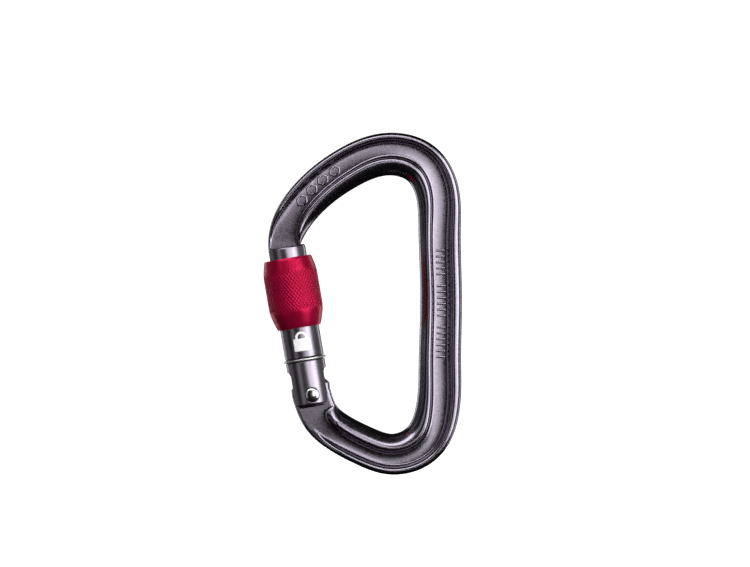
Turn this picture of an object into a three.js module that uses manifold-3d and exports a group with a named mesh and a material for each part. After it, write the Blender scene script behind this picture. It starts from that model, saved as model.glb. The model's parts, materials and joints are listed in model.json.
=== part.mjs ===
// Locking carabiner: a forged D with a hinged gate and a screw sleeve that runs on the gate's thread.
// Millimetres. +X runs from the gate to the spine, +Y to the back face, +Z up to the wide end.
// The origin is the inner apex of the top bow, half way through the thickness: where the part hangs.
// The gate pieces are drawn about the hinge pin with Z up the gate, then leaned over by GATE_LEAN.
import * as THREE from "three";
import { mergeVertices } from "three/addons/utils/BufferGeometryUtils.js";
import Module from "manifold-3d";

// ---- driving dimensions ------------------------------------------------------------------------
const PIN_X = -23.2; // hinge pin
const PIN_Z = -65.6;
const GATE_LEAN = 9.7; // degrees, from +Z towards the outside of the D
const AXIS_X = -0.5; // gate axis, measured from the pin

const STRIP_HALF = 2.4; // half thickness of the tang; the web is 2.5 and the flanges 5
const FLANGE_START = 7.6; // distance along the body from the pin to the start of the flanges
const FLANGE_STOP = 4.0; // distance along the body from the nose's end to the end of the flanges
const FLANGE_RAMP = 3.4; // length over which a flange rises
const FINE_STEP = 1.2; // spacing of the body's sections near its ends, and elsewhere
const COARSE_STEP = 3;

const GATE_R = 5.9;
const GATE_TOP = 45;
const GATE_FOOT = -3.6;
const CHEEK_HALF = 4.95; // half width of the flatted foot
const CHEEK_TOP = 6.6;
const CUT_REACH = 9; // how far the cutting blocks reach past the gate
const TANG_SLOT_HALF = 2.7;
const TANG_SLOT_TOP = 7.2;
const NOSE_SLOT_HALF = 2.7;
const NOSE_SLOT_FLOOR = 39.3;
const NOSE_SLOT_WALL = 4.2; // inner face of the wall that the nose closes against

const PIN_R = 1.65;
const PIN_HEAD_R = 2.05;
const PIN_HEAD_SEAT = 5.45;
const PIN_HEAD_TOP = 6.35;
const JOINT_GAP = 0.3; // clearance round the rivet in the tang and round its heads

const RING_Z = 10.8; // retaining ring that stops the sleeve
const RING_R = 6.0;
const RING_WIRE = 0.4;

const SLEEVE_FOOT = 20.4;
const SLEEVE_TOP = 41.5;
const SLEEVE_R = 8.2;
const SLEEVE_BORE = 6.6;
const LIP_BORE = 6.2;
const DRAG_Z = 24.2; // groove for the friction ring
const DRAG_HEIGHT = 1.6;
const DRAG_GROOVE_R = 7.0;

const LEAD = 4; // two-start thread, right-handed
const RIDGE_FOOT_HALF = 0.7; // half widths of a thread ridge at its foot and at its crest
const RIDGE_CREST_HALF = 0.25;
const RIDGE_RUN_OUT = 4; // steps over which a ridge sinks to nothing
const GATE_THREAD = { from: 28.6, to: 38.4, root: GATE_R, crest: 6.35, phase: 0 };
const SLEEVE_THREAD = { from: 31.6, to: 39.4, root: SLEEVE_BORE, crest: 6.15, phase: 1 };

const CAM_BASE = 4.0; // tang height under the plunger with the gate shut
const CAM_RISE = 3.0; // mm of plunger travel per radian of gate angle
const SPRING_BORE_R = 2.2;
const SPRING_BORE_FLOOR = 6;
const SPRING_BORE_TOP = 24;
const PLUNGER_R = 1.9;
const PLUNGER_GAP = 0.3;
const PLUNGER_LENGTH = 7;
const SPRING_TURNS = 6;
const SPRING_MEAN_R = 1.6;
const SPRING_WIRE_R = 0.3;

const SIDES = 36; // facets round the gate and the sleeve
const rad = THREE.MathUtils.degToRad;

// ---- solids ------------------------------------------------------------------------------------
const wasm = await Module();
wasm.setup();

function toSolid(geometry) {
  const bare = geometry.clone();
  bare.deleteAttribute("normal");
  bare.deleteAttribute("uv");
  const merged = mergeVertices(bare, 1e-4);
  return new wasm.Manifold(
    new wasm.Mesh({
      numProp: 3,
      vertProperties: merged.attributes.position.array,
      triVerts: Uint32Array.from(merged.index.array),
    }),
  );
}

function toGeometry(solid) {
  const mesh = solid.getMesh();
  const geometry = new THREE.BufferGeometry();
  geometry.setAttribute("position", new THREE.BufferAttribute(mesh.vertProperties, 3));
  geometry.setIndex(new THREE.BufferAttribute(mesh.triVerts, 1));
  return geometry;
}

// A solid of revolution about Z, from [radius, z] points running up the outside and down the inside.
function turned(profile, segments) {
  const points = profile.map(([r, z]) => new THREE.Vector2(r, z));
  points.push(points[0].clone());
  return new THREE.LatheGeometry(points, segments).rotateX(Math.PI / 2);
}

// A prism along Y, from [x, z] points running anticlockwise as seen from the front.
function plate(outline, halfThickness) {
  const shape = new THREE.Shape(outline.map(([x, z]) => new THREE.Vector2(x, z)));
  const prism = new THREE.ExtrudeGeometry(shape, { depth: 2 * halfThickness, bevelEnabled: false });
  return prism.rotateX(Math.PI / 2).translate(0, halfThickness, 0);
}

function box(x0, x1, halfY, z0, z1) {
  const block = new THREE.BoxGeometry(x1 - x0, 2 * halfY, z1 - z0);
  return block.translate((x0 + x1) / 2, 0, (z0 + z1) / 2);
}

// A closed skin over rings of points, capped at both ends. All rings have the same number of points,
// and run clockwise as seen looking along the row of rings.
function skin(rings) {
  const n = rings[0].length;
  const last = rings.length - 1;
  const middle = (ring) => ring.reduce((sum, p) => sum.add(p), new THREE.Vector3()).divideScalar(n);
  const points = [...rings.flat(), middle(rings[0]), middle(rings[last])];
  const faces = [];
  for (let i = 0; i < n; i++) {
    const j = (i + 1) % n;
    for (let k = 0; k < last; k++) {
      const a = k * n + i;
      const b = k * n + j;
      faces.push(a, b, b + n, a, b + n, a + n);
    }
    faces.push(points.length - 2, j, i);
    faces.push(points.length - 1, last * n + i, last * n + j);
  }
  return new THREE.BufferGeometry().setFromPoints(points).setIndex(faces);
}

// ---- body --------------------------------------------------------------------------------------
// Centre line of the D from the tang, round the basket and up the spine, to the nose, as
// [x, z, half width, width of the outer flange, width of the inner flange].
const CENTRE_LINE = [
  [-23.5, -65.6, 5.9, 2.6, 4.6],
  [-20.9, -72.0, 5.8, 2.8, 5.2],
  [-14.6, -77.5, 5.95, 3.0, 6.4],
  [-7.6, -81.1, 6.05, 3.2, 6.8],
  [0.4, -83.5, 6.2, 3.3, 6.8],
  [9.9, -79.9, 6.6, 3.5, 7.0],
  [14.2, -70.6, 6.65, 4.2, 5.8],
  [15.0, -56.1, 6.45, 4.6, 4.9],
  [15.35, -37.3, 6.35, 4.7, 4.8],
  [14.9, -15.4, 6.45, 4.5, 4.9],
  [14.1, -4.5, 6.65, 3.9, 5.8],
  [9.6, 3.4, 6.65, 3.5, 6.5],
  [0.2, 6.5, 6.5, 3.5, 6.6],
  [-13.1, 2.1, 6.35, 3.3, 5.8],
  [-23.9, -6.2, 6.05, 3.1, 5.0],
  [-28.6, -12.1, 5.75, 2.6, 4.0],
  [-30.8, -16.6, 5.35, 1.8, 2.4],
  [-31.7, -21.4, 4.85, 1.3, 1.2],
  [-31.3, -24.0, 4.8, 1.3, 1.2],
];

// Half sections as [part of the flange's width in from the edge, half thickness], and the same strip
// with no flange.
const OUTER_FLANGE = [[0, 0], [0.05, 2.1], [0.16, 3.9], [0.34, 5.0], [0.52, 4.7], [0.75, 3.4], [1, 2.5]];
const OUTER_FLAT = [[0, 0], [0.03, 1.4], [0.1, 2.1], [0.2, 2.4], [0.4, 2.4], [0.7, 2.4], [0.95, 2.4]];
const INNER_FLANGE = [[0, 0], [0.12, 2.4], [0.38, 4.5], [0.66, 5.0], [0.86, 4.2], [1, 2.5]];
const INNER_FLAT = [[0, 0], [0.06, 1.8], [0.2, 2.4], [0.44, 2.4], [0.64, 2.4], [0.84, 2.4]];

// Natural cubic spline through values at knots; returns value and slope.
function spline(knots, values) {
  const n = knots.length;
  const bend = new Array(n).fill(0);
  const carry = new Array(n).fill(0);
  for (let i = 1; i < n - 1; i++) {
    const before = knots[i] - knots[i - 1];
    const after = knots[i + 1] - knots[i];
    const pivot = 2 * (before + after) - before * carry[i - 1];
    const turn = (values[i + 1] - values[i]) / after - (values[i] - values[i - 1]) / before;
    carry[i] = after / pivot;
    bend[i] = (6 * turn - before * bend[i - 1]) / pivot;
  }
  for (let i = n - 2; i > 0; i--) bend[i] -= carry[i] * bend[i + 1];
  return (s) => {
    let i = 0;
    while (i < n - 2 && s > knots[i + 1]) i++;
    const h = knots[i + 1] - knots[i];
    const a = (knots[i + 1] - s) / h;
    const b = 1 - a;
    const value =
      a * values[i] + b * values[i + 1] + (((a ** 3 - a) * bend[i] + (b ** 3 - b) * bend[i + 1]) * h * h) / 6;
    const slope =
      (values[i + 1] - values[i]) / h + (((1 - 3 * a * a) * bend[i] + (3 * b * b - 1) * bend[i + 1]) * h) / 6;
    return { value, slope };
  };
}

function bodyLine() {
  const knots = [0];
  for (let i = 1; i < CENTRE_LINE.length; i++) {
    const [x, z] = CENTRE_LINE[i];
    const [px, pz] = CENTRE_LINE[i - 1];
    knots.push(knots[i - 1] + Math.hypot(x - px, z - pz));
  }
  const [x, z, half, outer, inner] = [0, 1, 2, 3, 4].map((k) => spline(knots, CENTRE_LINE.map((p) => p[k])));
  return { x, z, half, outer, inner, length: knots.at(-1) };
}

function blended(flat, flange, amount) {
  return flat.map(([d, t], i) => [
    THREE.MathUtils.lerp(d, flange[i][0], amount),
    THREE.MathUtils.lerp(t, flange[i][1], amount),
  ]);
}

// One ring of the body's section at distance s along the centre line.
function bodyRing(line, s) {
  const flange =
    THREE.MathUtils.smoothstep(s, FLANGE_START, FLANGE_START + FLANGE_RAMP) *
    THREE.MathUtils.smoothstep(line.length - s, FLANGE_STOP, FLANGE_STOP + FLANGE_RAMP);
  const rounding = 0.5 * Math.max(0, 1 - (line.length - s) / 0.7) ** 2;
  const half = line.half(s).value - rounding;
  const along = new THREE.Vector2(line.x(s).slope, line.z(s).slope).normalize();
  const outerWidth = line.outer(s).value;
  const innerWidth = line.inner(s).value;
  const outer = blended(OUTER_FLAT, OUTER_FLANGE, flange).map(([d, t]) => [half - d * outerWidth, t]);
  const inner = blended(INNER_FLAT, INNER_FLANGE, flange).map(([d, t]) => [d * innerWidth - half, t]);
  const back = [...outer, ...inner.reverse()];
  const front = back.slice(1, -1).reverse().map(([d, t]) => [d, -t]);
  return [...back, ...front].map(
    ([d, t]) => new THREE.Vector3(line.x(s).value + d * along.y, t, line.z(s).value - d * along.x),
  );
}

// The tang between the gate's cheeks; its top is the cam that lifts the plunger as the gate opens.
function tang() {
  const cam = [];
  for (let degrees = 42; degrees >= -12; degrees -= 3) {
    const reach = CAM_BASE + CAM_RISE * rad(degrees);
    cam.push([reach * Math.sin(rad(degrees)), reach * Math.cos(rad(degrees))]);
  }
  const inner = [[5, -1], [5.55, 1.2], [5.65, 2.7], [5.2, 3.3]];
  const outer = [[-5.6, 2.8], [-6.1, 2.3], [-6.2, 0.3], [-6, -1.5], [-5, -2.5]];
  return plate([...inner, ...cam, ...outer], STRIP_HALF);
}

function body() {
  const line = bodyLine();
  const rings = [];
  const shaped = FLANGE_START + FLANGE_RAMP + 2; // the stretch at each end where the section changes
  let s = 0;
  while (s < line.length - FINE_STEP / 2) {
    rings.push(bodyRing(line, s));
    const nearEnd = s < shaped || s > line.length - shaped + 1;
    s += nearEnd ? FINE_STEP : COARSE_STEP;
  }
  rings.push(bodyRing(line, line.length));
  const pinHole = new THREE.CylinderGeometry(PIN_R + JOINT_GAP, PIN_R + JOINT_GAP, 8, 24);
  const solid = toSolid(skin(rings)).add(toSolid(leaned(tang())));
  return toGeometry(solid.subtract(toSolid(leaned(pinHole))));
}

// ---- gate --------------------------------------------------------------------------------------
function leaned(geometry) {
  return geometry.rotateY(-rad(GATE_LEAN)).translate(PIN_X, 0, PIN_Z);
}

// One helical ridge; the crest runs out to nothing at both ends.
function threadRidge({ from, to, root, crest, phase }, start) {
  const perTurn = SIDES / 2;
  const inwards = Math.sign(root - crest);
  const buried = root + 0.25 * inwards;
  const steps = Math.round(((to - from) / LEAD) * perTurn);
  const rings = [];
  for (let i = 0; i <= steps; i++) {
    const runOut = Math.min(1, i / RIDGE_RUN_OUT, (steps - i) / RIDGE_RUN_OUT);
    const top = THREE.MathUtils.lerp(root + 0.1 * inwards, crest, runOut);
    const z = from + (LEAD * i) / perTurn;
    const turn = ((z - phase) / LEAD + start / 2) * 2 * Math.PI;
    const section = [
      [buried, -RIDGE_FOOT_HALF],
      [top, -RIDGE_CREST_HALF],
      [top, RIDGE_CREST_HALF],
      [buried, RIDGE_FOOT_HALF],
    ];
    rings.push(
      section.map(([r, dz]) => new THREE.Vector3(r * Math.cos(turn), r * Math.sin(turn), z + dz * inwards)),
    );
  }
  return skin(rings);
}

function gateBlank() {
  return turned(
    [
      [0, GATE_FOOT],
      [GATE_R - 0.9, GATE_FOOT],
      [GATE_R, GATE_FOOT + 0.9],
      [GATE_R, RING_Z - 0.6],
      [GATE_R - 0.5, RING_Z - 0.5],
      [GATE_R - 0.5, RING_Z + 0.5],
      [GATE_R, RING_Z + 0.6],
      [GATE_R, GATE_TOP - 0.4],
      [GATE_R - 0.4, GATE_TOP],
      [0, GATE_TOP],
    ],
    SIDES,
  );
}

// The cut that narrows the foot on one side, ending in a sloped step.
function cheekCut(side) {
  const foot = GATE_FOOT - 1;
  const outline = [
    [CHEEK_HALF, foot],
    [CUT_REACH, foot],
    [CUT_REACH, CHEEK_TOP + 1.3],
    [CHEEK_HALF + 1.1, CHEEK_TOP + 1.3],
    [CHEEK_HALF, CHEEK_TOP],
    [CHEEK_HALF, GATE_FOOT + 1.6],
    [CHEEK_HALF - 1.6, GATE_FOOT - 0.5],
    [CHEEK_HALF - 1.6, foot],
  ];
  const sided = outline.map(([x, z]) => [side * x, z]);
  return plate(side < 0 ? sided.reverse() : sided, 8);
}

function gate() {
  const onAxis = (geometry) => toSolid(geometry.translate(AXIS_X, 0, 0));
  const boreLength = SPRING_BORE_TOP - SPRING_BORE_FLOOR;
  const bore = new THREE.CylinderGeometry(SPRING_BORE_R, SPRING_BORE_R, boreLength, 24)
    .rotateX(Math.PI / 2)
    .translate(0, 0, SPRING_BORE_FLOOR + boreLength / 2);
  const pinHole = new THREE.CylinderGeometry(PIN_R + 0.15, PIN_R + 0.15, 14, 24);
  const frontSeat = new THREE.CylinderGeometry(PIN_HEAD_R + JOINT_GAP, PIN_HEAD_R + JOINT_GAP, 2, 24);
  const backSeat = frontSeat.clone().translate(0, PIN_HEAD_SEAT + 0.85, 0);
  frontSeat.translate(0, -PIN_HEAD_SEAT - 0.85, 0);
  const cuts = [
    box(-CUT_REACH, CUT_REACH, TANG_SLOT_HALF, GATE_FOOT - 1, TANG_SLOT_TOP),
    box(-CUT_REACH, NOSE_SLOT_WALL, NOSE_SLOT_HALF, NOSE_SLOT_FLOOR, GATE_TOP + 1),
    pinHole,
    frontSeat,
    backSeat,
  ];
  let solid = onAxis(gateBlank());
  for (const start of [0, 1]) solid = solid.add(onAxis(threadRidge(GATE_THREAD, start)));
  for (const cut of [cheekCut(1), cheekCut(-1), bore]) solid = solid.subtract(onAxis(cut));
  for (const cut of cuts) solid = solid.subtract(toSolid(cut));
  return toGeometry(solid);
}

function hingeRivet() {
  const head = [
    [PIN_HEAD_R, PIN_HEAD_SEAT],
    [PIN_HEAD_R, PIN_HEAD_SEAT + 0.2],
    [PIN_HEAD_R - 0.35, PIN_HEAD_TOP - 0.3],
    [PIN_HEAD_R - 1.05, PIN_HEAD_TOP - 0.05],
    [0, PIN_HEAD_TOP],
  ];
  const foot = head.map(([r, z]) => [r, -z]).reverse();
  return turned([...foot, [PIN_R, -PIN_HEAD_SEAT], [PIN_R, PIN_HEAD_SEAT], ...head], 24).rotateX(Math.PI / 2);
}

function retainingRing() {
  return new THREE.TorusGeometry(RING_R, RING_WIRE, 6, SIDES).translate(AXIS_X, 0, RING_Z);
}

function springPlunger() {
  const tip = CAM_BASE + PLUNGER_GAP;
  const profile = [[0, tip]];
  for (const degrees of [15, 30, 45, 60, 75, 90]) {
    profile.push([PLUNGER_R * Math.sin(rad(degrees)), tip + PLUNGER_R * (1 - Math.cos(rad(degrees)))]);
  }
  profile.push([PLUNGER_R, tip + PLUNGER_LENGTH], [0, tip + PLUNGER_LENGTH]);
  return turned(profile, 20).translate(AXIS_X, 0, 0);
}

function gateSpring() {
  const from = CAM_BASE + PLUNGER_GAP + PLUNGER_LENGTH + 0.5;
  const to = SPRING_BORE_TOP - 0.5;
  const perTurn = 12;
  const steps = SPRING_TURNS * perTurn;
  const rings = [];
  for (let i = 0; i <= steps; i++) {
    const turn = (2 * Math.PI * i) / perTurn;
    const z = THREE.MathUtils.lerp(from, to, i / steps);
    const ring = [];
    for (let k = 0; k < 6; k++) {
      const around = (Math.PI * k) / 3;
      const r = SPRING_MEAN_R + SPRING_WIRE_R * Math.cos(around);
      const height = z - SPRING_WIRE_R * Math.sin(around);
      ring.push(new THREE.Vector3(r * Math.cos(turn), r * Math.sin(turn), height));
    }
    rings.push(ring);
  }
  return skin(rings).translate(AXIS_X, 0, 0);
}

// ---- sleeve ------------------------------------------------------------------------------------
function sleeveBlank() {
  return turned(
    [
      [LIP_BORE + 0.15, SLEEVE_FOOT],
      [6.5, SLEEVE_FOOT],
      [7.0, SLEEVE_FOOT + 1.2],
      [SLEEVE_R - 0.15, SLEEVE_FOOT + 4.8],
      [SLEEVE_R, SLEEVE_FOOT + 5.8],
      [SLEEVE_R, SLEEVE_TOP - 4.6],
      [SLEEVE_R - 0.15, SLEEVE_TOP - 3.7],
      [7.3, SLEEVE_TOP - 0.7],
      [7.05, SLEEVE_TOP],
      [SLEEVE_BORE + 0.1, SLEEVE_TOP],
      [SLEEVE_BORE, SLEEVE_TOP - 0.3],
      [SLEEVE_BORE, DRAG_Z + DRAG_HEIGHT],
      [DRAG_GROOVE_R, DRAG_Z + DRAG_HEIGHT],
      [DRAG_GROOVE_R, DRAG_Z],
      [SLEEVE_BORE, DRAG_Z],
      [SLEEVE_BORE, SLEEVE_FOOT + 2.4],
      [LIP_BORE, SLEEVE_FOOT + 2.0],
      [LIP_BORE, SLEEVE_FOOT + 0.2],
    ],
    SIDES,
  );
}

function sleeve() {
  const solid = [threadRidge(SLEEVE_THREAD, 0), threadRidge(SLEEVE_THREAD, 1)]
    .map(toSolid)
    .reduce((sum, ridge) => sum.add(ridge), toSolid(sleeveBlank()));
  return toGeometry(solid).translate(AXIS_X, 0, 0);
}

function frictionRing() {
  const foot = DRAG_Z + 0.2;
  const top = DRAG_Z + DRAG_HEIGHT - 0.2;
  return turned([[6.1, foot], [6.75, foot], [6.75, top], [6.1, top]], SIDES).translate(AXIS_X, 0, 0);
}

// ---- the named pieces --------------------------------------------------------------------------
const ANODISED_GREY = { color: 0x6a6170, roughness: 0.28, metalness: 0.9 };
const STEEL = { color: 0xc9c9cc, roughness: 0.3, metalness: 1 };

const carabiner = new THREE.Group();

function piece(name, geometry, look) {
  const mesh = new THREE.Mesh(geometry, new THREE.MeshStandardMaterial(look));
  mesh.name = name;
  mesh.geometry.computeVertexNormals();
  carabiner.add(mesh);
}

piece("body", body(), ANODISED_GREY);
piece("gate", leaned(gate()), ANODISED_GREY);
piece("hinge_rivet", leaned(hingeRivet()), STEEL);
piece("retaining_ring", leaned(retainingRing()), STEEL);
piece("gate_spring", leaned(gateSpring()), { color: 0xb4b6ba, roughness: 0.35, metalness: 1 });
piece("spring_plunger", leaned(springPlunger()), { color: 0xa9abb0, roughness: 0.4, metalness: 1 });
piece("friction_ring", leaned(frictionRing()), { color: 0x1d1c20, roughness: 0.7, metalness: 0 });
piece("sleeve", leaned(sleeve()), { color: 0xb3083f, roughness: 0.35, metalness: 0.7 });

export default carabiner;
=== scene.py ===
# Looks of the locking carabiner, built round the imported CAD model.
# Lengths are millimetres until they reach a mesh. The studio's places and sizes are metres.
import json
import math

import bmesh
import bpy
import numpy as np
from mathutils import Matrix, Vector


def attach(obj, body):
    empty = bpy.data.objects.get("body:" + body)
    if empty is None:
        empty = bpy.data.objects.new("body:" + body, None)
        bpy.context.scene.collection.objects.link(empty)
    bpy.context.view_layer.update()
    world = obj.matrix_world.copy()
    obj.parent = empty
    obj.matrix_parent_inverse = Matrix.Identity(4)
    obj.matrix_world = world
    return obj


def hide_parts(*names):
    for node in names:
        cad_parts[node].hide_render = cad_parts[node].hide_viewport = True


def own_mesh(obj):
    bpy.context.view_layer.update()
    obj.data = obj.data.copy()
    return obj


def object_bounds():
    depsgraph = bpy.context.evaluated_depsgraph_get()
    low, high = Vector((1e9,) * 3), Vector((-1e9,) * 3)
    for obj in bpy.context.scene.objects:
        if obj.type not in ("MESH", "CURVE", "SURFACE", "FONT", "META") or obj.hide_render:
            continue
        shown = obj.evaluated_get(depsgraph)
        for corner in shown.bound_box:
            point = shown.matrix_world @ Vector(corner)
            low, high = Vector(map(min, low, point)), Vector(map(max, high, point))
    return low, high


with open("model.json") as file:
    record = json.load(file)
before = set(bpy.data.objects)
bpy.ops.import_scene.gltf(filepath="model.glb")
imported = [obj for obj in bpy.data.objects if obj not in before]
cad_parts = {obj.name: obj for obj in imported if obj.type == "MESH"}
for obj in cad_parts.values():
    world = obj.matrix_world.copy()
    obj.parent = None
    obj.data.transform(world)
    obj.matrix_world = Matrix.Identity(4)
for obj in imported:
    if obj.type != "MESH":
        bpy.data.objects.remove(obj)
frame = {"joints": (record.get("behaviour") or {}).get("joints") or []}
CAD_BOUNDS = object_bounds()

# ---- dimensions shared with the CAD model --------------------------------------------------------
# Heights up the gate are measured from its pin, and the gate's axis passes the pin at AXIS_X.
MM = 0.001
JOINTS = {j["name"]: j for j in frame["joints"]}
PIN = [1000 * v for v in JOINTS["gate_hinge"]["pos_m"]]
GATE_AXIS = Vector(JOINTS["sleeve_turn"]["axis"])
LEAN = math.atan2(-GATE_AXIS.x, GATE_AXIS.z)
AXIS_X = -0.5
GATE_R = 5.9
GATE_TOP = 45.0
GATE_FOOT = -3.6
RING_Z = 10.8
SLEEVE_FOOT = 20.4
SLEEVE_TOP = 41.5
THREAD_PITCH = 2.0
THREAD_DEPTH = 0.45
CAM_RADIUS = 4
CAM_RISE = 3
# Half thicknesses of the web between the flanges, and of the strip that makes the tang and the nose.
WEB_HALF = 2.5
STRIP_HALF = 2.4

# Centre line of the forged D, from the tang to the nose, as
# [x, z, half width, width of the outer flange, width of the inner flange].
CENTRE_LINE = np.array([
    [-23.5, -65.6, 5.9, 2.6, 4.6],
    [-20.9, -72.0, 5.8, 2.8, 5.2],
    [-14.6, -77.5, 5.95, 3.0, 6.4],
    [-7.6, -81.1, 6.05, 3.2, 6.8],
    [0.4, -83.5, 6.2, 3.3, 6.8],
    [9.9, -79.9, 6.6, 3.5, 7.0],
    [14.2, -70.6, 6.65, 4.2, 5.8],
    [15.0, -56.1, 6.45, 4.6, 4.9],
    [15.35, -37.3, 6.35, 4.7, 4.8],
    [14.9, -15.4, 6.45, 4.5, 4.9],
    [14.1, -4.5, 6.65, 3.9, 5.8],
    [9.6, 3.4, 6.65, 3.5, 6.5],
    [0.2, 6.5, 6.5, 3.5, 6.6],
    [-13.1, 2.1, 6.35, 3.3, 5.8],
    [-23.9, -6.2, 6.05, 3.1, 5.0],
    [-28.6, -12.1, 5.75, 2.6, 4.0],
    [-30.8, -16.6, 5.35, 1.8, 2.4],
    [-31.7, -21.4, 4.85, 1.3, 1.2],
    [-31.3, -24.0, 4.8, 1.3, 1.2],
])


# ---- mesh helpers ----------------------------------------------------------------------------------
# Height (as a part of the half thickness) and inset in mm of each layer of a plate with rounded edges.
EDGE_ROUNDING = [(-1, 1.0), (-0.97, 0.72), (-0.88, 0.42), (-0.7, 0.18), (-0.4, 0.03), (0, 0),
                 (0.4, 0.03), (0.7, 0.18), (0.88, 0.42), (0.97, 0.72), (1, 1.0)]


def mesh_object(name, points, faces, material, sharp=35.0):
    """A smooth-shaded object whose edges are sharp above that many degrees."""
    mesh = bpy.data.meshes.new(name)
    mesh.from_pydata((np.asarray(points, float) * MM).tolist(), [], faces)
    mesh.validate()
    made = bmesh.new()
    made.from_mesh(mesh)
    bmesh.ops.recalc_face_normals(made, faces=made.faces)
    made.to_mesh(mesh)
    made.free()
    mesh.shade_smooth()
    mesh.set_sharp_from_angle(angle=math.radians(sharp))
    obj = bpy.data.objects.new(name, mesh)
    bpy.context.scene.collection.objects.link(obj)
    if material:
        mesh.materials.append(material)
    return obj


def leaned(points):
    """Gate coordinates, about the pin with Z up the gate, to the object's frame."""
    p = np.asarray(points, float)
    c, s = math.cos(LEAN), math.sin(LEAN)
    out = np.empty_like(p)
    out[..., 0] = PIN[0] + p[..., 0] * c - p[..., 2] * s
    out[..., 1] = p[..., 1]
    out[..., 2] = PIN[2] + p[..., 0] * s + p[..., 2] * c
    return out


def grid_faces(rows, columns, close_rows=False):
    """Faces between rings of points, whose last ring may join the first."""
    faces = []
    for k in range(rows if close_rows else rows - 1):
        n = (k + 1) % rows
        for i in range(columns):
            j = (i + 1) % columns
            faces.append((k * columns + i, k * columns + j, n * columns + j, n * columns + i))
    return faces


def skin(rings):
    """Points and faces over rings of points (rows, columns, 3), with flat ends."""
    rows, columns, _ = rings.shape
    faces = grid_faces(rows, columns)
    faces.append(tuple(range(columns))[::-1])
    faces.append(tuple((rows - 1) * columns + i for i in range(columns)))
    return rings.reshape(-1, 3), faces


def turned(profile, sides, radius=None, closed=False):
    """A solid of revolution about the gate's axis. radius(r, angles, z) may change a ring's radius."""
    angles = np.linspace(0, 2 * math.pi, sides, endpoint=False)
    rings = []
    for r, z in profile:
        rr = np.full(sides, float(r)) if radius is None else radius(r, angles, z)
        rings.append(np.stack([AXIS_X + rr * np.cos(angles), rr * np.sin(angles), np.full(sides, z)], -1))
    rings = np.array(rings)
    if closed:
        return rings.reshape(-1, 3), grid_faces(len(rings), sides, True)
    return skin(rings)


def rounded(points, radius, steps=4):
    """A polyline with each inner corner rounded to about that radius."""
    out = [points[0]]
    for before, corner, after in zip(points, points[1:], points[2:]):
        b, c, a = (np.array(p, float) for p in (before, corner, after))
        reach = min(radius, 0.45 * np.linalg.norm(b - c), 0.45 * np.linalg.norm(a - c))
        start = c + (b - c) / np.linalg.norm(b - c) * reach
        end = c + (a - c) / np.linalg.norm(a - c) * reach
        for t in np.linspace(0, 1, steps + 1):
            out.append(tuple((1 - t) ** 2 * start + 2 * t * (1 - t) * c + t * t * end))
    out.append(points[-1])
    return out


def prism(outline, half_y):
    """A prism along Y from an [x, z] outline."""
    n = len(outline)
    points = [(x, -half_y, z) for x, z in outline] + [(x, half_y, z) for x, z in outline]
    faces = [tuple(range(n)), tuple(range(2 * n - 1, n - 1, -1))]
    faces += [(i, n + i, n + (i + 1) % n, (i + 1) % n) for i in range(n)]
    return points, faces


def pillow(outline, half_y):
    """A plate along Y with rounded edges, from an [x, z] outline."""
    path = np.array(outline, float)
    ahead = np.roll(path, -1, 0) - np.roll(path, 1, 0)
    outwards = np.stack([ahead[:, 1], -ahead[:, 0]], -1) / np.linalg.norm(ahead, axis=1)[:, None]
    layers = []
    for height, inset in EDGE_ROUNDING:
        moved = path - inset * outwards
        layers.append(np.stack([moved[:, 0], np.full(len(path), height * half_y), moved[:, 1]], -1))
    return skin(np.array(layers))


def rod_y(r, y0, y1):
    """A round bar along the pin, from y0 to y1."""
    turns = np.linspace(0, 2 * math.pi, 48, endpoint=False)
    rings = [[(r * math.cos(t), y, r * math.sin(t)) for t in turns] for y in (y0, y1)]
    return skin(np.array(rings))


def combine(target, shape, how):
    """Boolean of a mesh object with a (points, faces) shape in gate coordinates."""
    points, faces = shape
    tool = mesh_object("tool", leaned(points), faces, None)
    change = target.modifiers.new("cut", "BOOLEAN")
    change.operation = how
    change.solver = "EXACT"
    change.object = tool
    bpy.context.view_layer.update()
    depsgraph = bpy.context.evaluated_depsgraph_get()
    mesh = bpy.data.meshes.new_from_object(target.evaluated_get(depsgraph), depsgraph=depsgraph)
    target.modifiers.clear()
    old = target.data
    target.data = mesh
    bpy.data.meshes.remove(old)
    tool_mesh = tool.data
    bpy.data.objects.remove(tool)
    bpy.data.meshes.remove(tool_mesh)


def finish_mesh(obj, sharp):
    """Merges doubled points and drops slivers, which booleans leave, then marks the sharp edges."""
    doubled, sliver = 2e-7, 1e-7
    made = bmesh.new()
    made.from_mesh(obj.data)
    bmesh.ops.remove_doubles(made, verts=made.verts, dist=doubled)
    bmesh.ops.dissolve_degenerate(made, edges=made.edges, dist=sliver)
    bmesh.ops.recalc_face_normals(made, faces=made.faces)
    made.to_mesh(obj.data)
    made.free()
    obj.data.shade_smooth()
    obj.data.set_sharp_from_angle(angle=math.radians(sharp))


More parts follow.
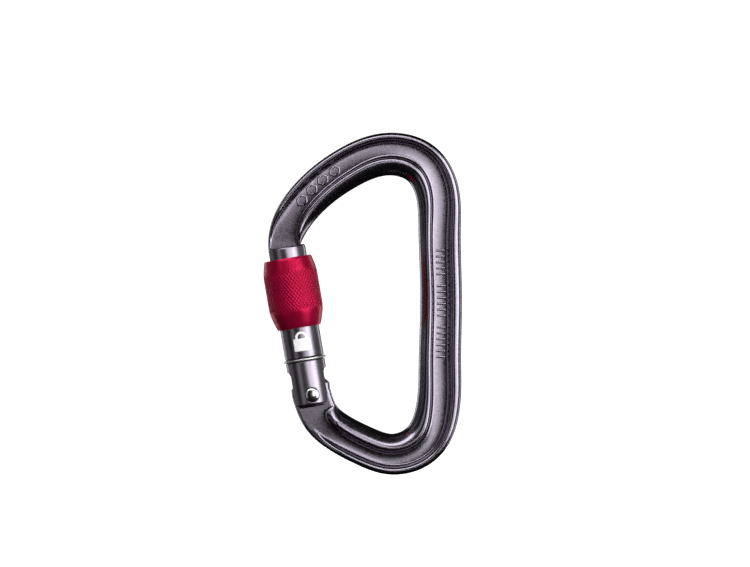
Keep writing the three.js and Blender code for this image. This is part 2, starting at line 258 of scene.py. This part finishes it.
# ---- materials -------------------------------------------------------------------------------------
class Nodes:
    """A material's node tree, with one Principled shader."""

    def __init__(self, name):
        self.material = bpy.data.materials.new(name)
        self.material.use_nodes = True
        self.tree = self.material.node_tree
        self.shader = self.tree.nodes["Principled BSDF"]
        self.place = self.tree.nodes.new("ShaderNodeTexCoord").outputs["Object"]

    def node(self, kind, **settings):
        made = self.tree.nodes.new("ShaderNode" + kind)
        for key, value in settings.items():
            setattr(made, key, value)
        return made

    def link(self, a, b):
        self.tree.links.new(a, b)

    def noise(self, scale, detail=3.0, stretch=None):
        texture = self.node("TexNoise")
        texture.inputs["Scale"].default_value = scale
        texture.inputs["Detail"].default_value = detail
        source = self.place
        if stretch:
            mapping = self.node("Mapping")
            mapping.inputs["Scale"].default_value = stretch
            self.link(self.place, mapping.inputs["Vector"])
            source = mapping.outputs["Vector"]
        self.link(source, texture.inputs["Vector"])
        return texture.outputs["Fac"]

    def ramp(self, source, low, high, at=(0.35, 0.65)):
        """Goes from low to high, two numbers or two colours, between the positions in at."""
        ramp = self.node("ValToRGB")
        for stop, position, value in zip(ramp.color_ramp.elements, at, (low, high)):
            stop.position = position
            stop.color = (*value, 1) if isinstance(value, tuple) else (value, value, value, 1)
        self.link(source, ramp.inputs["Fac"])
        return ramp.outputs["Color"]

    def mix(self, factor, color, tint):
        """The colour, or the tint where the factor is 1."""
        mixer = self.node("Mix", data_type="RGBA")
        self.link(factor, mixer.inputs["Factor"])
        self.link(color, mixer.inputs["A"])
        mixer.inputs["B"].default_value = (*tint, 1)
        return mixer.outputs["Result"]

    def bump(self, height, strength, distance, under=None):
        bump = self.node("Bump")
        bump.inputs["Strength"].default_value = strength
        bump.inputs["Distance"].default_value = distance
        self.link(height, bump.inputs["Height"])
        if under:
            self.link(under, bump.inputs["Normal"])
        return bump.outputs["Normal"]

    def edge_round(self, radius):
        bevel = self.node("Bevel", samples=6)
        bevel.inputs["Radius"].default_value = radius
        return bevel.outputs["Normal"]

    def finish(self, color, roughness, normal=None, metallic=1.0):
        self.link(color, self.shader.inputs["Base Color"])
        self.link(roughness, self.shader.inputs["Roughness"])
        self.shader.inputs["Metallic"].default_value = metallic
        if normal:
            self.link(normal, self.shader.inputs["Normal"])
        return self.material


def anodised_grey(name, rough, bevel=0.0):
    n = Nodes(name)
    color = n.ramp(n.noise(60, 3), (0.175, 0.155, 0.19), (0.215, 0.193, 0.23))
    # Painted highlight: the base colour is made lighter on convex edges and crests, found by pointiness, to
    # brighten their highlights.
    painted_edge_highlight = n.ramp(n.node("NewGeometry").outputs["Pointiness"], 0.0, 0.35, (0.53, 0.6))
    color = n.mix(painted_edge_highlight, color, (0.36, 0.34, 0.375))
    roughness = n.ramp(n.noise(900, 4), rough - 0.02, rough + 0.03)
    grain = n.bump(n.noise(2600, 2), 0.02, 0.00001, n.edge_round(bevel) if bevel else None)
    normal = n.bump(n.noise(160, 2), 0.03, 0.00015, grain)
    return n.finish(color, roughness, normal)


def anodised_crimson():
    n = Nodes("anodised_crimson")
    color = n.ramp(n.noise(90, 3), (0.28, 0.0015, 0.026), (0.33, 0.002, 0.036))
    # Painted highlight: the base colour is made lighter pink on the knurl's points and on convex edges,
    # found by pointiness.
    painted_edge_highlight = n.ramp(n.node("NewGeometry").outputs["Pointiness"], 0.0, 0.35, (0.52, 0.62))
    color = n.mix(painted_edge_highlight, color, (0.5, 0.035, 0.1))
    roughness = n.ramp(n.noise(700, 3), 0.3, 0.37)
    normal = n.bump(n.noise(2400, 2), 0.03, 0.00001)
    n.shader.inputs["Specular IOR Level"].default_value = 0.12
    return n.finish(color, roughness, normal, 0.55)


def steel(name, shade=0.42, rough=0.16):
    n = Nodes(name)
    streaks = n.noise(500, 3, (1, 1, 14))
    dark = (shade - 0.06, shade - 0.065, shade - 0.06)
    light = (shade + 0.05, shade + 0.045, shade + 0.04)
    color = n.ramp(streaks, dark, light)
    roughness = n.ramp(streaks, rough - 0.03, rough + 0.07)
    return n.finish(color, roughness, n.bump(streaks, 0.03, 0.00001))


def nylon():
    n = Nodes("black_nylon")
    color = n.ramp(n.noise(400, 3), (0.012, 0.012, 0.014), (0.03, 0.03, 0.033))
    roughness = n.ramp(n.noise(300, 3), 0.5, 0.65)
    return n.finish(color, roughness, n.bump(n.noise(1500, 2), 0.1, 0.00005), 0.0)


def white_print():
    n = Nodes("white_print")
    color = n.ramp(n.noise(900, 4), (0.74, 0.74, 0.74), (0.84, 0.84, 0.83))
    roughness = n.ramp(n.noise(600, 3), 0.45, 0.6)
    return n.finish(color, roughness, n.bump(n.noise(1800, 3), 0.15, 0.00003), 0.0)


GREY_BODY = anodised_grey("anodised_grey_body", 0.22)
GREY_GATE = anodised_grey("anodised_grey_gate", 0.3, 0.0002)
CRIMSON = anodised_crimson()
BRIGHT_STEEL = steel("bright_steel")
RING_STEEL = steel("ring_steel", 0.52, 0.4)
SPRING_STEEL = steel("spring_steel", 0.36, 0.25)
NYLON = nylon()
PRINT = white_print()


# ---- body ------------------------------------------------------------------------------------------
# Control points of the half sections as [part of the flange's width in from the edge, half thickness],
# with a flange and without one. Corner cutting turns them into smooth curves.
OUTER_FLANGE = np.array([
    [0, 0], [0.03, 2.6], [0.08, 4.0], [0.2, 4.8], [0.45, 5.12], [0.68, 4.65], [0.86, 2.85], [1.0, WEB_HALF],
])
OUTER_FLAT = np.array([
    [0, 0], [0.01, 1.2], [0.14, 2.15], [0.3, STRIP_HALF], [0.45, STRIP_HALF], [0.6, STRIP_HALF],
    [0.78, STRIP_HALF], [0.95, STRIP_HALF],
])
INNER_FLANGE = np.array([
    [0, 0], [0.02, 1.7], [0.16, 3.2], [0.4, 4.62], [0.62, 5.13], [0.79, 4.7], [0.85, 2.8], [1.02, WEB_HALF],
])
INNER_FLAT = np.array([
    [0, 0], [0.0, 1.4], [0.07, 2.15], [0.2, STRIP_HALF], [0.4, STRIP_HALF], [0.6, STRIP_HALF],
    [0.8, STRIP_HALF], [1, STRIP_HALF],
])
# Where along the centre line each flange rises, measured from the tang's end and from the nose's.
OUTER_FROM_TANG, OUTER_FROM_NOSE = (8.0, 19.0), (2.5, 12.0)
INNER_FROM_TANG, INNER_FROM_NOSE = (6.6, 11.9), (2.6, 9.0)
NOSE_ROUND_DEPTH, NOSE_ROUND_LENGTH = 0.5, 0.7
BODY_ROWS = 320
CORNER_CUTS = 3


def smoothstep(x, low, high):
    t = np.clip((x - low) / (high - low), 0, 1)
    return t * t * (3 - 2 * t)


def soft_ramp(x, low, high):
    """A straight ramp from 0 to 1 with its two ends rounded off."""
    soften, steps = 0.7, 9
    shifts = np.linspace(-soften, soften, steps)
    return np.mean([np.clip((x + shift - low) / (high - low), 0, 1) for shift in shifts], axis=0)


class Spline:
    """Natural cubic spline through values at knots."""

    def __init__(self, knots, values):
        n = len(knots)
        h = np.diff(knots)
        system = np.eye(n)
        right = np.zeros((n, values.shape[1]))
        for i in range(1, n - 1):
            system[i, i - 1:i + 2] = h[i - 1], 2 * (h[i - 1] + h[i]), h[i]
            right[i] = 6 * ((values[i + 1] - values[i]) / h[i] - (values[i] - values[i - 1]) / h[i - 1])
        self.knots, self.values, self.h = knots, values, h
        self.bend = np.linalg.solve(system, right)

    def at(self, s):
        """The values and their slopes at each distance in s."""
        i = np.clip(np.searchsorted(self.knots, s) - 1, 0, len(self.h) - 1)
        h = self.h[i][:, None]
        a = (self.knots[i + 1] - s)[:, None] / h
        b = 1 - a
        v, m = self.values, self.bend
        value = a * v[i] + b * v[i + 1] + ((a**3 - a) * m[i] + (b**3 - b) * m[i + 1]) * h * h / 6
        slope = (v[i + 1] - v[i]) / h + ((1 - 3 * a * a) * m[i] + (3 * b * b - 1) * m[i + 1]) * h / 6
        return value, slope


def cut_corners(loops):
    """One round of corner cutting on closed loops of shape (rows, points, 2)."""
    following = np.roll(loops, -1, axis=1)
    out = np.empty((loops.shape[0], loops.shape[1] * 2, loops.shape[2]))
    out[:, 0::2] = 0.75 * loops + 0.25 * following
    out[:, 1::2] = 0.25 * loops + 0.75 * following
    return out


KNOTS = np.concatenate([[0], np.cumsum(np.hypot(*np.diff(CENTRE_LINE[:, :2], axis=0).T))])
BODY_LINE = Spline(KNOTS, CENTRE_LINE)
BODY_LENGTH = KNOTS[-1]


def body_rings():
    """The body's sections from the tang to the nose, as rings of points."""
    s = np.linspace(0, BODY_LENGTH, BODY_ROWS)
    to_nose = BODY_LENGTH - s
    value, slope = BODY_LINE.at(s)
    x, z, half, outer_width, inner_width = (value[:, k][:, None] for k in range(5))
    half = half - NOSE_ROUND_DEPTH * np.clip(1 - to_nose[:, None] / NOSE_ROUND_LENGTH, 0, None) ** 2
    along = slope[:, :2] / np.hypot(slope[:, 0], slope[:, 1])[:, None]
    outer_amount = smoothstep(s, *OUTER_FROM_TANG) * smoothstep(to_nose, *OUTER_FROM_NOSE)
    inner_amount = soft_ramp(s, *INNER_FROM_TANG) * smoothstep(to_nose, *INNER_FROM_NOSE)
    outer = OUTER_FLAT + (OUTER_FLANGE - OUTER_FLAT) * outer_amount[:, None, None]
    inner = INNER_FLAT + (INNER_FLANGE - INNER_FLAT) * inner_amount[:, None, None]
    outer = np.stack([half - outer[..., 0] * outer_width, outer[..., 1]], -1)
    inner = np.stack([inner[..., 0] * inner_width - half, inner[..., 1]], -1)[:, ::-1]
    back = np.concatenate([outer, inner], 1)
    front = back[:, -2:0:-1] * (1, -1)
    loops = np.concatenate([back, front], 1)
    for _ in range(CORNER_CUTS):
        loops = cut_corners(loops)
    across, thick = loops[..., 0], loops[..., 1]
    return np.stack([x + across * along[:, 1:2], thick, z - across * along[:, 0:1]], -1)


def tang_outline():
    """The tang round the pin as [x, z], with the spiral cam that lifts the plunger on its top."""
    inner = [(5, -1), (5.55, 1.2), (5.65, 2.7), (5.2, 3.3)]
    cam = []
    for degrees in range(42, -13, -2):
        turn = math.radians(degrees)
        reach = CAM_RADIUS + CAM_RISE * turn
        cam.append((reach * math.sin(turn), reach * math.cos(turn)))
    outer = [(-5.6, 2.8), (-6.1, 2.3), (-6.2, 0.3), (-6, -1.5), (-5, -2.5)]
    return inner + cam + outer


def make_body():
    tang_inset, hole_radius, hole_reach, sharp = 0.01, 1.95, 4, 58
    body = mesh_object("forged_body_shell", *skin(body_rings()), GREY_BODY)
    combine(body, pillow(tang_outline(), STRIP_HALF - tang_inset), "UNION")
    combine(body, rod_y(hole_radius, -hole_reach, hole_reach), "DIFFERENCE")
    finish_mesh(body, sharp)
    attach(body, "forged_body")
    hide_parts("body")


# ---- gate ------------------------------------------------------------------------------------------
# Heights of the thread's two ends on the gate, and the spacing of the rows of points between them.
THREAD_LOW, THREAD_HIGH, THREAD_ROW = 28.6, 38.4, 0.1
# Radius of the flat discs that close the bar's two ends.
CORE = 0.4


def thread_height(angles, z, phase, low, high):
    """0 in the root of the two-start thread and 1 on its crest."""
    run_out_length, crest_edge, root_edge = 0.8, 0.24, 0.56
    step = (z - phase) / THREAD_PITCH - angles / math.pi
    off = np.abs(step - np.round(step)) * THREAD_PITCH
    run_out = np.clip((z - low) / run_out_length, 0, 1) * np.clip((high - z) / run_out_length, 0, 1)
    return smoothstep(-off, -root_edge, -crest_edge) * run_out


def gate_bar():
    """The round bar, with a groove for the retaining ring and the thread for the sleeve."""
    foot_bevel_in, foot_bevel_up, top_bevel, corner = 0.75, 1.0, 0.45, 0.3
    groove_depth, groove_half, groove_mouth = 0.5, 0.5, 0.6

    def radius(r, angles, z):
        if THREAD_LOW < z < THREAD_HIGH:
            return r + THREAD_DEPTH * thread_height(angles, z, 0, THREAD_LOW, THREAD_HIGH)
        return np.full_like(angles, r)

    lower = [
        (CORE, GATE_FOOT), (GATE_R - foot_bevel_in, GATE_FOOT), (GATE_R, GATE_FOOT + foot_bevel_up),
        (GATE_R, RING_Z - groove_mouth), (GATE_R - groove_depth, RING_Z - groove_half),
        (GATE_R - groove_depth, RING_Z + groove_half), (GATE_R, RING_Z + groove_mouth),
        (GATE_R, THREAD_LOW - THREAD_ROW),
    ]
    upper = [
        (GATE_R, THREAD_HIGH + THREAD_ROW), (GATE_R, GATE_TOP - top_bevel), (GATE_R - top_bevel, GATE_TOP),
        (CORE, GATE_TOP),
    ]
    heights = np.arange(THREAD_LOW, THREAD_HIGH + THREAD_ROW / 2, THREAD_ROW)
    thread = [(GATE_R, z) for z in heights]
    return turned(rounded(lower, corner) + thread + rounded(upper, corner), 144, radius)


def foot_cutters():
    """What is cut away left and right of the gate's foot, below a sloping step."""
    half, step, outside, below = 4.95, 6.6, 9, GATE_FOOT - 1
    side = rounded([
        (half - 1.5, below), (outside, below), (outside, step + 1.4), (half + 1.2, step + 1.4),
        (half, step + 0.1), (half, GATE_FOOT + 1.7), (half - 1.5, GATE_FOOT - 0.3),
    ], 0.9, 5)
    outlines = [[(AXIS_X + x, z) for x, z in side], [(AXIS_X - x, z) for x, z in side][::-1]]
    return [prism(outline, 8) for outline in outlines]


def slot_cutters():
    """The slots for the tang and for the nose."""
    outside, slot_half = 8, 2.7
    tang_slot = (outside, GATE_FOOT - 1, 7.2)
    nose_slot = (4.2, 39.3, GATE_TOP + 1)
    return [prism([(-outside, low), (right, low), (right, high), (-outside, high)], slot_half)
            for right, low, high in (tang_slot, nose_slot)]


def bore_cutters():
    """The spring's bore, the pin's hole and the recess round each of the rivet's heads."""
    spring_bore = turned([(2.2, 6), (2.2, 24)], 64)
    recess_radius, recess_floor, recess_mouth = 2.26, 5.45, 7.3
    return [
        spring_bore,
        rod_y(1.8, -7, 7),
        rod_y(recess_radius, -recess_mouth, -recess_floor),
        rod_y(recess_radius, recess_floor, recess_mouth),
    ]


def make_gate():
    points, faces = gate_bar()
    gate = mesh_object("gate_bar", leaned(points), faces, GREY_GATE)
    for cutter in foot_cutters() + slot_cutters() + bore_cutters():
        combine(gate, cutter, "DIFFERENCE")
    finish_mesh(gate, 30)
    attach(gate, "gate_assembly")
    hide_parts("gate")


def make_rivet():
    head_radius, head_base, head_top, head_wall, shank_radius = 2.2, 5.47, 6.34, 0.12, 1.65
    head = [(head_radius, head_base)]
    for degrees in range(0, 88, 6):
        turn = math.radians(degrees)
        rise = (head_top - head_base - head_wall) * math.sin(turn)
        head.append((head_radius * math.cos(turn), head_base + head_wall + rise))
    shank = [(shank_radius, -head_base), (shank_radius, head_base)]
    profile = [(r, -y) for r, y in head[::-1]] + shank + head
    angles = np.linspace(0, 2 * math.pi, 64, endpoint=False)
    rings = [[(r * math.cos(t), y, r * math.sin(t)) for t in angles] for r, y in profile]
    points, faces = skin(np.array(rings))
    rivet = mesh_object("hinge_rivet_polished", leaned(points), faces, BRIGHT_STEEL)
    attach(rivet, "gate_assembly")
    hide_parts("hinge_rivet")


def directions(path, closed):
    """Unit vectors along a path of points (rows, 3)."""
    along = np.roll(path, -1, 0) - np.roll(path, 1, 0) if closed else np.gradient(path, axis=0)
    return along / np.linalg.norm(along, axis=1)[:, None]


def wire(path, radius, sides, closed):
    """A round wire along a path of points (rows, 3), in gate coordinates."""
    along = directions(path, closed)
    up = np.cross(along, np.cross([0.0, 0.0, 1.0], along))
    up /= np.linalg.norm(up, axis=1)[:, None]
    side = np.cross(along, up)
    turn = np.linspace(0, 2 * math.pi, sides, endpoint=False)[None, :, None]
    rings = path[:, None] + radius * (np.cos(turn) * side[:, None] + np.sin(turn) * up[:, None])
    if closed:
        return rings.reshape(-1, 3), grid_faces(len(rings), sides, True)
    return skin(rings)


def make_ring():
    ring_radius, wire_radius, steps = 6, 0.4, 180
    turn = np.linspace(0, 2 * math.pi, steps, endpoint=False)
    across, deep = ring_radius * np.cos(turn), ring_radius * np.sin(turn)
    path = np.stack([AXIS_X + across, deep, np.full(steps, RING_Z)], -1)
    points, faces = wire(path, wire_radius, 16, True)
    ring = mesh_object("retaining_ring_wire", leaned(points), faces, RING_STEEL)
    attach(ring, "gate_assembly")
    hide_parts("retaining_ring")


def make_spring():
    low, high, coils, coil_radius, wire_radius, steps_per_coil = 11.9, 23.4, 6, 1.6, 0.29, 40
    t = np.linspace(0, 1, coils * steps_per_coil + 1)
    turn = 2 * math.pi * coils * t
    across, deep = coil_radius * np.cos(turn), coil_radius * np.sin(turn)
    path = np.stack([AXIS_X + across, deep, low + (high - low) * t], -1)
    points, faces = wire(path, wire_radius, 12, False)
    spring = mesh_object("gate_spring_coil", leaned(points), faces, SPRING_STEEL)
    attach(spring, "gate_assembly")
    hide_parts("gate_spring")
    anchor = leaned([(AXIS_X, 0, high)])[0] * MM
    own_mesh(spring)


def make_plunger():
    tip, length, bevel, r, core = 4.3, 7, 0.2, 1.88, 0.03
    profile = [(core, tip)]
    for degrees in range(8, 91, 8):
        turn = math.radians(degrees)
        profile.append((r * math.sin(turn), tip + r * (1 - math.cos(turn))))
    profile += [(r, tip + r), (r, tip + length - bevel), (r - bevel, tip + length), (core, tip + length)]
    points, faces = turned(profile, 48)
    plunger = mesh_object("plunger_pin", leaned(points), faces, BRIGHT_STEEL)
    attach(plunger, "plunger")
    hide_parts("spring_plunger")


# ---- sleeve ----------------------------------------------------------------------------------------
SLEEVE_SIDES = 450
SLEEVE_BORE = 6.6
SLEEVE_THREAD_LOW, SLEEVE_THREAD_HIGH, SLEEVE_THREAD_ROW = 31.6, 39.4, 0.2
KNURL_LOW, KNURL_HIGH, KNURL_ROW = SLEEVE_FOOT + 4.6, SLEEVE_TOP - 3.2, 0.15
KNURL_FADE = 1.6
KNURL_DEPTH = 0.15
KNURL_PITCH = 1.5
KNURL_AROUND = 50


def knurl(angles, z):
    """Height of a diamond knurl, 0 in the grooves and 1 on the flat-topped points."""
    around = angles * KNURL_AROUND / (2 * math.pi)
    up = z / KNURL_PITCH
    a = np.abs(((around + up) % 1) * 2 - 1)
    b = np.abs(((around - up) % 1) * 2 - 1)
    return 1 - smoothstep(np.maximum(a, b), 0.35, 1.0)


def knurled_rows(angles):
    """The sleeve's outer surface from its foot to its top, as (radii, height) of each row."""
    outline = rounded([
        (6.45, SLEEVE_FOOT), (6.95, SLEEVE_FOOT + 1.2), (8.15, SLEEVE_FOOT + 5.2),
        (8.15, SLEEVE_TOP - 4.2), (7.3, SLEEVE_TOP - 0.6), (7.05, SLEEVE_TOP),
    ], 3.4, 12)
    radii, heights = zip(*outline)
    knurl_heights = np.round(np.arange(KNURL_LOW, KNURL_HIGH, KNURL_ROW), 4)
    rows = []
    for z in sorted(set([round(z, 4) for z in heights] + list(knurl_heights))):
        rise = smoothstep(z, KNURL_LOW, KNURL_LOW + KNURL_FADE)
        fade = rise * (1 - smoothstep(z, KNURL_HIGH - KNURL_FADE, KNURL_HIGH))
        rows.append((float(np.interp(z, heights, radii)) + fade * KNURL_DEPTH * (knurl(angles, z) - 1), z))
    return rows


def threaded_rows(angles):
    """The sleeve's inner surface from its top to its foot, with the friction ring's groove."""
    groove, groove_low, groove_high, foot_bore = 7.0, 24.2, 25.8, 6.2
    profile = rounded([(6.75, SLEEVE_TOP), (SLEEVE_BORE, SLEEVE_TOP - 0.3), (SLEEVE_BORE, 39.5)], 0.1, 2)
    profile += [(SLEEVE_BORE, z) for z in np.arange(SLEEVE_THREAD_HIGH, 31.5, -SLEEVE_THREAD_ROW)]
    profile += [
        (SLEEVE_BORE, 31.4), (SLEEVE_BORE, groove_high), (groove, groove_high), (groove, groove_low),
        (SLEEVE_BORE, groove_low), (SLEEVE_BORE, 22.8), (foot_bore, 22.4), (foot_bore, SLEEVE_FOOT + 0.2),
        (6.32, SLEEVE_FOOT),
    ]
    # The sleeve's ridges run half a pitch above the gate's.
    phase = THREAD_PITCH / 2
    rows = []
    for r, z in profile:
        radii = np.full(SLEEVE_SIDES, float(r))
        if 31.5 < z < 39.45:
            radii -= THREAD_DEPTH * thread_height(angles, z, phase, SLEEVE_THREAD_LOW, SLEEVE_THREAD_HIGH)
        rows.append((radii, z))
    return rows


def make_sleeve():
    angles = np.linspace(0, 2 * math.pi, SLEEVE_SIDES, endpoint=False)
    rings = []
    for radii, z in knurled_rows(angles) + threaded_rows(angles):
        across, deep = radii * np.cos(angles), radii * np.sin(angles)
        rings.append(np.stack([AXIS_X + across, deep, np.full(SLEEVE_SIDES, z)], -1))
    rings = np.array(rings)
    faces = grid_faces(len(rings), SLEEVE_SIDES, True)
    sleeve = mesh_object("knurled_sleeve", leaned(rings.reshape(-1, 3)), faces, CRIMSON, 50)
    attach(sleeve, "screw_sleeve")
    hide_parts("sleeve")


def make_friction_ring():
    inner, outer, low, high = 6.1, 6.75, 24.4, 25.6
    section = [(inner, low), (outer, low), (outer, high), (inner, high)]
    profile = rounded(section + section[:2], 0.15, 3)[1:-1]
    points, faces = turned(profile, 144, closed=True)
    ring = mesh_object("friction_ring_nylon", leaned(points), faces, NYLON)
    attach(ring, "drag_ring")
    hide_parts("friction_ring")


# ---- marks -----------------------------------------------------------------------------------------
def printed_sheet(made, across, up):
    """Adds a thin closed sheet that lies on the front of the gate, over a grid of places, to a bmesh."""
    clearance, thickness = 0.015, 0.03
    rows, columns = across.shape
    grid = {}
    for layer, lift in ((0, 0.0), (1, thickness)):
        for i in range(rows):
            for j in range(columns):
                x, z = across[i, j], up[i, j]
                y = -math.sqrt((GATE_R + clearance + lift) ** 2 - (x - AXIS_X) ** 2)
                grid[layer, i, j] = made.verts.new(leaned([(x, y, z)])[0] * MM)
    for i in range(rows - 1):
        for j in range(columns - 1):
            for layer in (0, 1):
                corners = ((i, j), (i, j + 1), (i + 1, j + 1), (i + 1, j))
                made.faces.new([grid[(layer, *corner)] for corner in corners])
    border = [(i, 0) for i in range(rows)]
    border += [(rows - 1, j) for j in range(1, columns)]
    border += [(i, columns - 1) for i in range(rows - 2, -1, -1)]
    border += [(0, j) for j in range(columns - 2, 0, -1)]
    for (i, j), (k, m) in zip(border, border[1:] + border[:1]):
        made.faces.new([grid[0, i, j], grid[0, k, m], grid[1, k, m], grid[1, i, j]])


def make_padlock():
    """A plain padlock pictogram printed on the front of the gate."""
    centre_x, low = -0.3, 13.45
    case_half, case_height, case_corner = 2.6, 3.75, 0.06
    shackle_in, shackle_middle, shackle_out, shackle_foot, shackle_rise = 1.1, 1.45, 1.8, 4.1, 0.95
    made = bmesh.new()
    v, u = np.meshgrid(np.linspace(0, 1, 12), np.linspace(-1, 1, 25), indexing="ij")
    corner = 1 - case_corner * (np.clip(np.abs(2 * v - 1) - 0.8, 0, 1) / 0.2) ** 2
    printed_sheet(made, centre_x + case_half * u * corner, low + case_height * v)
    shackle = np.array([shackle_in, shackle_middle, shackle_out])
    turn, r = np.meshgrid(np.linspace(0, math.pi, 25), shackle, indexing="ij")
    printed_sheet(made, centre_x + r * np.cos(turn), low + shackle_foot + shackle_rise * r * np.sin(turn))
    for side in (-1, 1):
        leg = np.linspace(shackle_in, shackle_out, 4)
        v, u = np.meshgrid(np.linspace(3.76, 4.08, 3), leg, indexing="ij")
        printed_sheet(made, centre_x + side * u, low + v)
    bmesh.ops.recalc_face_normals(made, faces=made.faces)
    mesh = bpy.data.meshes.new("padlock_print")
    made.to_mesh(mesh)
    made.free()
    mesh.materials.append(PRINT)
    obj = bpy.data.objects.new("padlock_print", mesh)
    bpy.context.scene.collection.objects.link(obj)
    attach(obj, "gate_assembly")


def raised_line(path, closed):
    """A rounded ridge that stands on the web's front face and follows a path of points."""
    half_width, height = 0.36, 0.42
    left = [(-1.0, 0.1), (-1.0, 0.0), (-0.8, -0.7), (-0.4, -1.0)]
    section = left + [(-a, b) for a, b in left[::-1]]
    side = np.cross(directions(path, closed), [0.0, 1.0, 0.0])
    rings = np.array([[p + s * a * half_width + np.array([0, b * height, 0]) for a, b in section]
                      for p, s in zip(path, side)])
    if closed:
        return rings.reshape(-1, 3), grid_faces(len(rings), len(section), True)
    return skin(rings)


def on_web(s, path):
    """A path of (along, across) points about the middle of the web at s, in the object's frame."""
    points = []
    for a, b in path:
        value, slope = BODY_LINE.at(np.array([s + a]))
        x, z, half, outer, inner = value[0]
        along = slope[0, :2] / np.hypot(*slope[0, :2])
        across = ((half - outer) + (inner - half)) / 2 + b
        points.append((x + across * along[1], -WEB_HALF, z - across * along[0]))
    return np.array(points, float)


def make_marks():
    """Plain raised marks on the front of the web: hexagons near the nose and rows of bars on the spine."""
    hexagon_count, hexagon_spacing, hexagons_to_nose = 4, 4.3, 30.4
    bar_places, bar_spacing, bars_to_knot, bars_in_row, bar_half = 19, 1.77, 17, 6, 1.25
    turns = np.linspace(0, 2 * math.pi, 6, endpoint=False)
    hexagon = [(1.7 * math.cos(t), 1.4 * math.sin(t)) for t in turns]
    first_hexagon = BODY_LENGTH - hexagons_to_nose
    ridges = []
    for k in range(hexagon_count):
        ridges.append(raised_line(on_web(first_hexagon + hexagon_spacing * k, hexagon), True))
    bar = [(0, -bar_half), (0, bar_half)]
    first_bar = float(KNOTS[8]) - bars_to_knot
    for k in range(bar_places):
        if k % (bars_in_row + 1) != bars_in_row:
            ridges.append(raised_line(on_web(first_bar + bar_spacing * k, bar), False))
    all_points, all_faces = [], []
    for points, faces in ridges:
        all_faces += [tuple(i + len(all_points) for i in face) for face in faces]
        all_points += points.tolist()
    marks = mesh_object("plain_marks", all_points, all_faces, GREY_BODY, 60)
    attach(marks, "forged_body")


make_body()
make_gate()
make_rivet()
make_ring()
make_spring()
make_plunger()
make_sleeve()
make_friction_ring()
make_padlock()
make_marks()


# ---- studio ----------------------------------------------------------------------------------------
LOW, HIGH = CAD_BOUNDS
CENTRE = (Vector(LOW) + Vector(HIGH)) / 2
BACKDROP_SIDES = 96


def area_light(name, place, size, radiance):
    """A rectangular softbox that faces the object, with the brightness that its reflection shows."""
    light = bpy.data.lights.new(name, "AREA")
    light.shape = "RECTANGLE"
    light.size, light.size_y = size
    light.energy = radiance * math.pi * size[0] * size[1]
    obj = bpy.data.objects.new(name, light)
    bpy.context.scene.collection.objects.link(obj)
    obj.location = place
    obj.rotation_euler = (CENTRE - Vector(place)).to_track_quat("-Z", "Y").to_euler()
    obj.visible_camera = False


def make_lights():
    area_light("right_box", (0.80, -0.78, 0.10), (0.62, 1.2), 5.6)
    area_light("left_box", (-0.80, -0.80, 0.05), (0.30, 1.2), 0.9)
    area_light("right_side_box", (1.25, 0.15, 0.0), (0.6, 1.2), 0.5)
    area_light("left_side_box", (-1.25, 0.15, 0.0), (0.6, 1.2), 0.35)
    area_light("front_box", (0.42, -1.55, 0.16), (0.8, 0.8), 3.7)
    area_light("top_box", (-0.25, -0.85, 0.82), (1.5, 0.42), 5.4)
    area_light("rear_box", (-0.30, 1.6, 0.12), (0.8, 0.8), 1.3)
    area_light("rear_left_box", (-0.80, 0.80, 0.0), (0.28, 1.2), 2.6)
    area_light("rear_right_box", (0.80, 0.80, 0.0), (0.28, 1.2), 2.6)
    world = bpy.data.worlds.new("studio")
    bpy.context.scene.world = world
    world.use_nodes = True
    world.node_tree.nodes["Background"].inputs["Color"].default_value = (0.008, 0.0075, 0.0085, 1)


def pale_floor():
    white = bpy.data.materials.new("pale_floor")
    white.use_nodes = True
    shader = white.node_tree.nodes["Principled BSDF"]
    shader.inputs["Base Color"].default_value = (0.8, 0.8, 0.8, 1)
    shader.inputs["Roughness"].default_value = 0.9
    shader.inputs["Emission Color"].default_value = (1, 1, 1, 1)
    shader.inputs["Emission Strength"].default_value = 1.2
    return white


def level_circle(r, z):
    turns = np.linspace(0, 2 * math.pi, BACKDROP_SIDES, endpoint=False)
    return [(r * math.cos(t), r * math.sin(t), z) for t in turns]


def make_backdrop():
    """A pale floor that bends up into a round wall and a ceiling, and that only the camera sees."""
    floor_z = CAD_BOUNDS[0][2] * 1000 - 60
    floor_radius, bend_radius, wall_top, ceiling = 2500, 1500, 5000, 7000
    rings = [level_circle(r, floor_z) for r in (0.01, 1000, floor_radius)]
    for degrees in np.linspace(10, 90, 9):
        turn = math.radians(degrees)
        reach = floor_radius + bend_radius * math.sin(turn)
        rings.append(level_circle(reach, floor_z + bend_radius * (1 - math.cos(turn))))
    rings.append(level_circle(floor_radius + bend_radius, floor_z + wall_top))
    rings.append(level_circle(10, floor_z + ceiling))
    rings = np.array(rings)
    faces = grid_faces(len(rings), BACKDROP_SIDES)
    backdrop = mesh_object("backdrop", rings.reshape(-1, 3), faces, pale_floor())
    backdrop.visible_glossy = False
    backdrop.visible_shadow = False
    backdrop.visible_diffuse = False


def make_camera():
    sensor_width, distance, view_width = 36, 1.2, 0.225
    aim = CENTRE + Vector((0.0037, 0, 0.006))
    data = bpy.data.cameras.new("camera")
    data.sensor_width = sensor_width
    data.lens = sensor_width * distance / view_width
    data.clip_end = 20
    camera = bpy.data.objects.new("camera", data)
    bpy.context.scene.collection.objects.link(camera)
    camera.location = (aim.x, -distance, aim.z)
    camera.rotation_euler = (math.radians(90), 0, 0)
    bpy.context.scene.camera = camera
    bpy.context.scene.view_settings.view_transform = "Standard"


make_lights()
make_backdrop()
make_camera()
